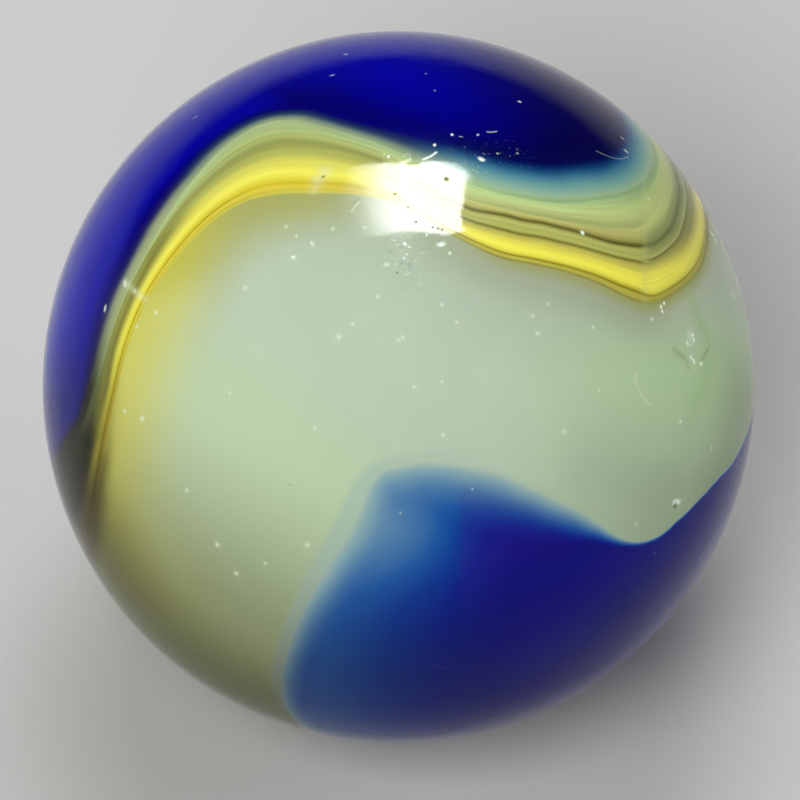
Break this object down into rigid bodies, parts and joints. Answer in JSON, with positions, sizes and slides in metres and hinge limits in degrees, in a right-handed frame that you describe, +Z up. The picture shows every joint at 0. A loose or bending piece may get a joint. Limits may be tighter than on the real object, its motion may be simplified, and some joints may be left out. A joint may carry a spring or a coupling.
{
  "type": "glass marble",
  "caption": "Solid glass ball with a blue, pale green, olive and yellow swirl, for games, bench use and desk display.",
  "frame": {"origin": "centre of the ball", "axes": "+Z up; -Y is the side of the ball whose face is tipped up by 50 degrees, with the pale green in its middle"},
  "size_m": [0.016, 0.016, 0.016],
  "materials": {
    "swirl_glass": "polished"
  },
  "bodies": {
    "root": {"marble": "swirl_glass"}
  },
  "joints": []
}
